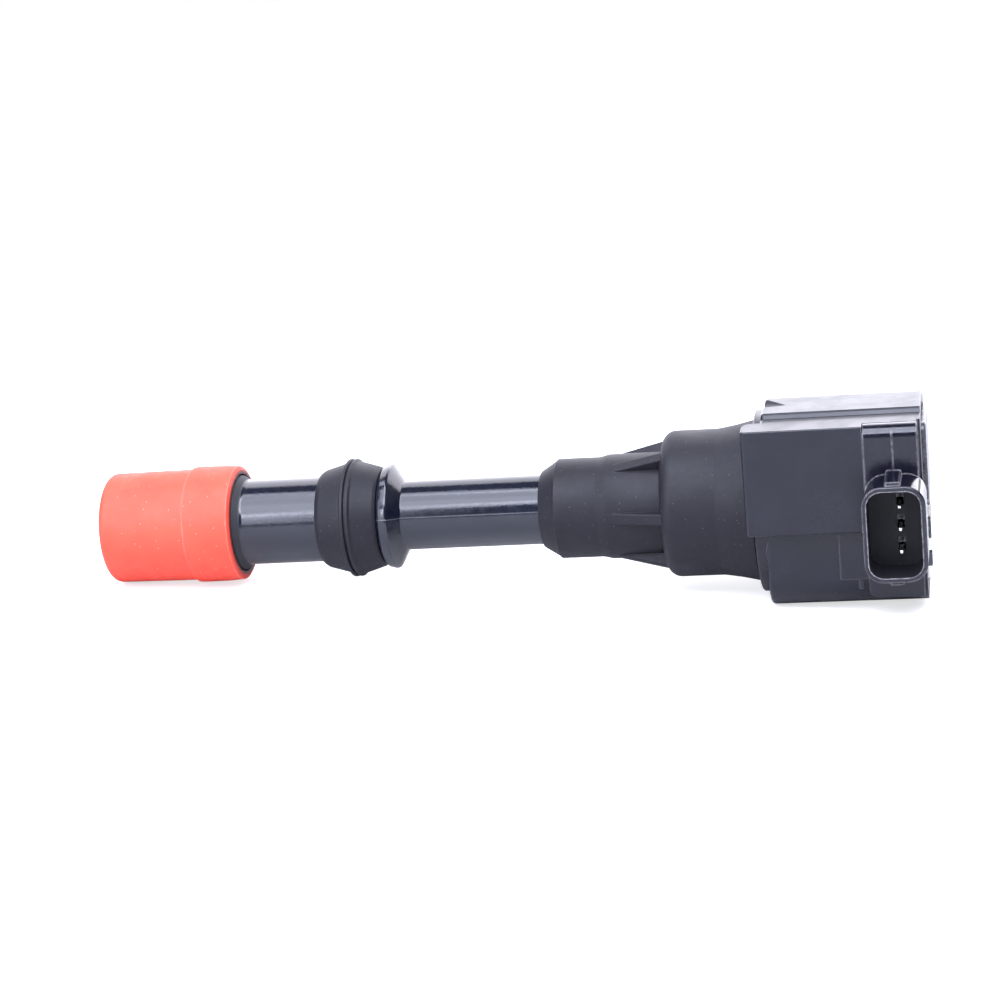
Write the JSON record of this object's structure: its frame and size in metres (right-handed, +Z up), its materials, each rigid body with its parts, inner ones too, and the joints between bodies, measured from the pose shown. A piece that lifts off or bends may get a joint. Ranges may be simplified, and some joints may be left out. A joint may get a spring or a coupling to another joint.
{
  "type": "ignition coil",
  "caption": "Plug-top ignition coil: silicone plug boot on a long insulating stem, rubber centring ring and well seal, potted transformer case with side connector and bolt lug.",
  "frame": {"origin": "centre of the bottom of the bounding box, under the coil as it lies on its side", "axes": "+X along the coil from the plug boot to the case, -Y the way the connector faces, +Z up"},
  "size_m": [0.1662, 0.0654, 0.0379],
  "materials": {
    "silicone": "satin moulded silicone",
    "gloss_stem": "polished injection-moulded plastic",
    "matte_rubber": "matte moulded rubber",
    "case_plastic": "satin glass-filled plastic",
    "connector_plastic": "semi-gloss plastic",
    "carrier_plastic": "satin plastic",
    "tinned_contact": "bright tin plate",
    "potting_resin": "cast epoxy, semi-gloss",
    "spring_steel": "plain drawn wire",
    "brass": "turned brass",
    "resistor_body": "ceramic",
    "core_steel": "stamped laminations",
    "magnet": "sintered",
    "bobbin_plastic": "natural nylon",
    "copper_winding": "enamelled copper wire",
    "diode_body": "moulded",
    "heat_sink": "plain sheet",
    "bush_steel": "zinc-plated"
  },
  "bodies": {
    "coil": {"plug_boot": "silicone", "stem": "gloss_stem", "centring_ring": "matte_rubber", "well_seal": "matte_rubber", "case": "case_plastic", "connector_housing": "connector_plastic", "terminal_1": "tinned_contact", "terminal_2": "tinned_contact", "terminal_3": "tinned_contact", "terminal_carrier": "carrier_plastic", "contact_spring": "spring_steel", "contact_rod": "spring_steel", "suppression_resistor": "resistor_body", "high_voltage_terminal": "brass", "centre_core": "core_steel", "bias_magnet": "magnet", "outer_core": "core_steel", "primary_bobbin": "bobbin_plastic", "primary_winding": "copper_winding", "secondary_bobbin": "bobbin_plastic", "secondary_winding_1": "copper_winding", "secondary_winding_2": "copper_winding", "secondary_winding_3": "copper_winding", "high_voltage_diode": "diode_body", "igniter_heat_sink": "heat_sink", "igniter_module": "diode_body", "potting": "potting_resin", "mounting_bush": "bush_steel"},
    "plug_contact": {"contact_cap": "brass"}
  },
  "joints": [
    {"name": "contact_travel", "type": "slide", "parent": "coil", "child": "plug_contact", "axis": [1, 0, 0], "range_m": [0, 0.004], "stiffness_N_per_m": 400, "springref_m": -0.002, "deforming": ["contact_spring"]}
  ]
}
